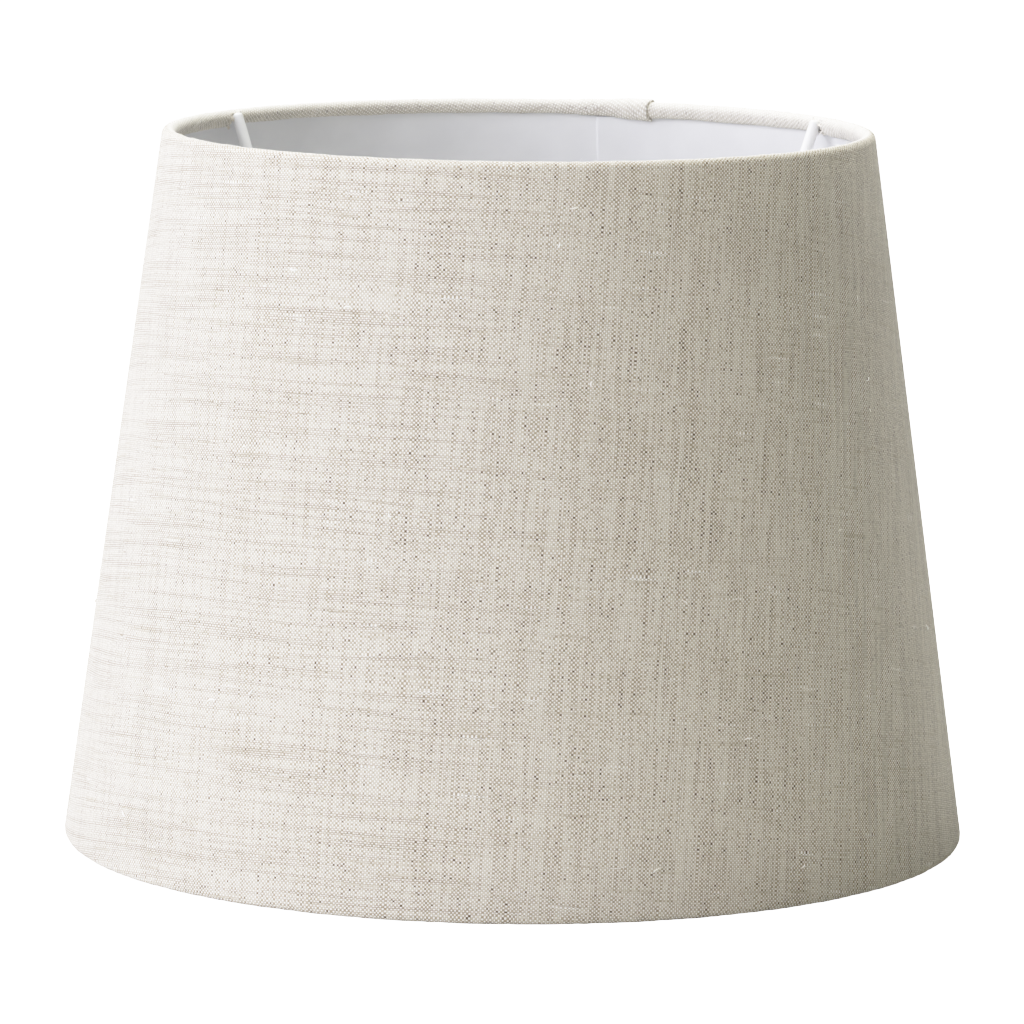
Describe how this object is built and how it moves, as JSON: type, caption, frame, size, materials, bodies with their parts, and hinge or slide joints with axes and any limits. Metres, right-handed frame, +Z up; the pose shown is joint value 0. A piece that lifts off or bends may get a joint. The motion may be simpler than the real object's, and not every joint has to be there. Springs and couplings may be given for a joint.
{
  "type": "lamp shade",
  "caption": "Tapered drum lamp shade in natural linen over a white liner, with rolled hems and a recessed wire carrier.",
  "frame": {"origin": "centre of the bottom hem, on the plane the shade stands on", "axes": "+Z up along the lampholder bore, -Y the front, the sheet's lap is behind at +Y"},
  "size_m": [0.25, 0.25, 0.197],
  "materials": {
    "linen": "plain weave, natural warp and cream weft, matte",
    "liner_sheet": "white PVC sheet, satin",
    "tape": "translucent double-sided tape",
    "white_wire": "white powder coat, satin"
  },
  "bodies": {
    "root": {"fabric_cover": "linen", "liner": "liner_sheet", "seam_tape": "tape", "top_ring": "white_wire", "bottom_ring": "white_wire", "arm_front": "white_wire", "arm_rear_left": "white_wire", "arm_rear_right": "white_wire", "lampholder_ring": "white_wire"}
  },
  "joints": []
}
